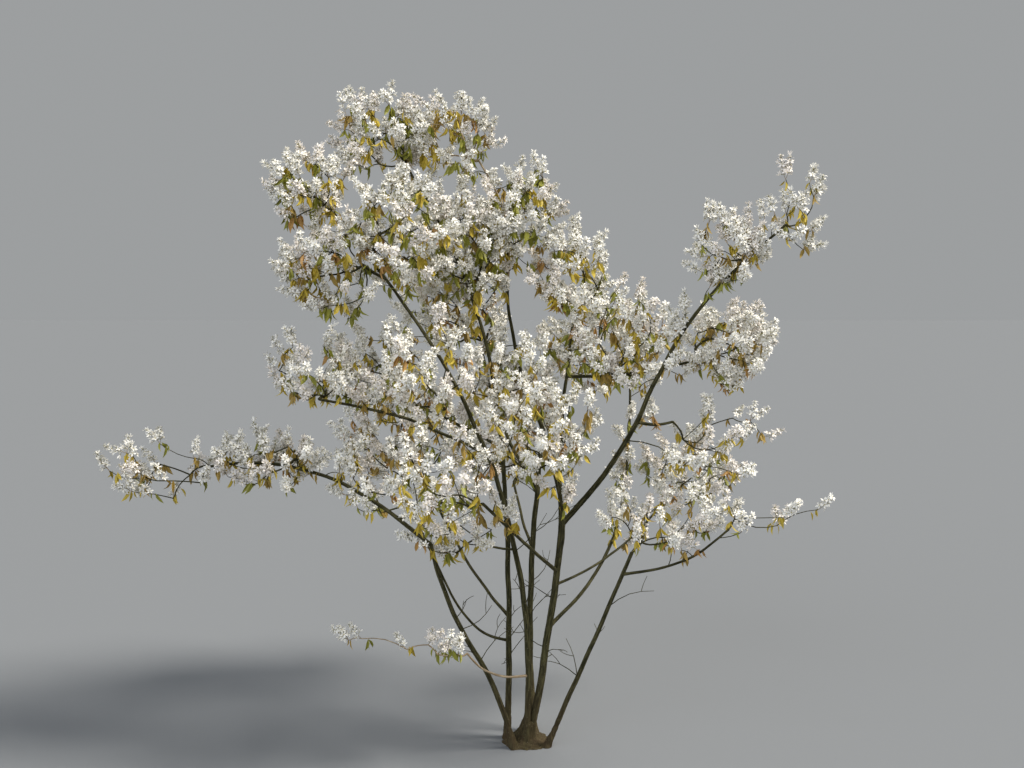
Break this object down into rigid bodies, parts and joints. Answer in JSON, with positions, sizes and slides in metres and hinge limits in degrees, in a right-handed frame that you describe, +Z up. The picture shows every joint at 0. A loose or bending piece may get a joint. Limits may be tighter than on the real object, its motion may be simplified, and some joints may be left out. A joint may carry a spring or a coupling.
{
  "type": "serviceberry tree",
  "caption": "Young multi-stemmed serviceberry in white blossom with bronze young leaves, rooted in the ground on a flared collar.",
  "frame": {"origin": "ground level in the middle of the clump, on the flat cut under the root collar", "axes": "+Z up, +X to the side of the tall outer bough, -X to the side of the long low bough, -Y to the front"},
  "size_m": [2.5498, 1.4235, 2.4209],
  "materials": {
    "bark": "smooth grey-brown bark with an olive cast, matt",
    "young_bark": "thin sunlit shoots, pale red-brown, satin",
    "blossom": "thin matt petals, warm white, with young leaves of bronze and olive",
    "young_leaf": "thin young leaves, olive green, gold and copper, half matt"
  },
  "bodies": {
    "root": {"root_collar": "bark", "stem_main": "bark", "stem_left": "bark", "stem_inner_left": "bark", "stem_centre": "bark", "stem_back": "bark", "stem_right": "bark", "leader_right": "bark", "leader_back": "bark", "leader_up_right": "bark", "leader_left": "bark", "leader_top": "bark", "bough_right_high": "bark", "bough_front_right": "bark", "bough_front_left": "bark", "bough_low_back": "bark", "bough_back_right": "bark", "bough_right_arm": "bark", "bough_right_cross": "bark", "bough_low_right": "bark", "bough_left_long": "bark", "bough_left_mid": "bark", "bough_left_inner": "bark", "bough_left_low": "bark", "bough_back_left": "bark", "bough_back_centre": "bark", "shoot_top": "young_bark", "shoot_low": "young_bark", "blossom_peak_left": "blossom", "blossom_peak_right": "blossom", "blossom_upper_left_tip": "blossom", "blossom_upper_left": "blossom", "blossom_upper_mid": "blossom", "blossom_upper_centre": "blossom", "blossom_upper_right": "blossom", "blossom_right_shoulder": "blossom", "blossom_left_tip": "blossom", "blossom_left_inner": "blossom", "blossom_centre_left": "blossom", "blossom_centre": "blossom", "blossom_right_centre": "blossom", "blossom_right_upper": "blossom", "blossom_right_tip": "blossom", "blossom_right_mid": "blossom", "blossom_right_arm": "blossom", "blossom_right_front": "blossom", "blossom_front_centre": "blossom", "blossom_front_left": "blossom", "blossom_low_left": "blossom", "blossom_low_centre": "blossom", "blossom_low_right": "blossom", "blossom_far_right": "blossom", "blossom_long_mid": "blossom", "blossom_long_outer": "blossom", "blossom_low_sprig": "blossom", "blossom_back_upper": "blossom", "blossom_back_left": "blossom", "blossom_back_centre": "blossom", "blossom_back_right": "blossom", "blossom_low_back": "blossom"}
  },
  "joints": []
}
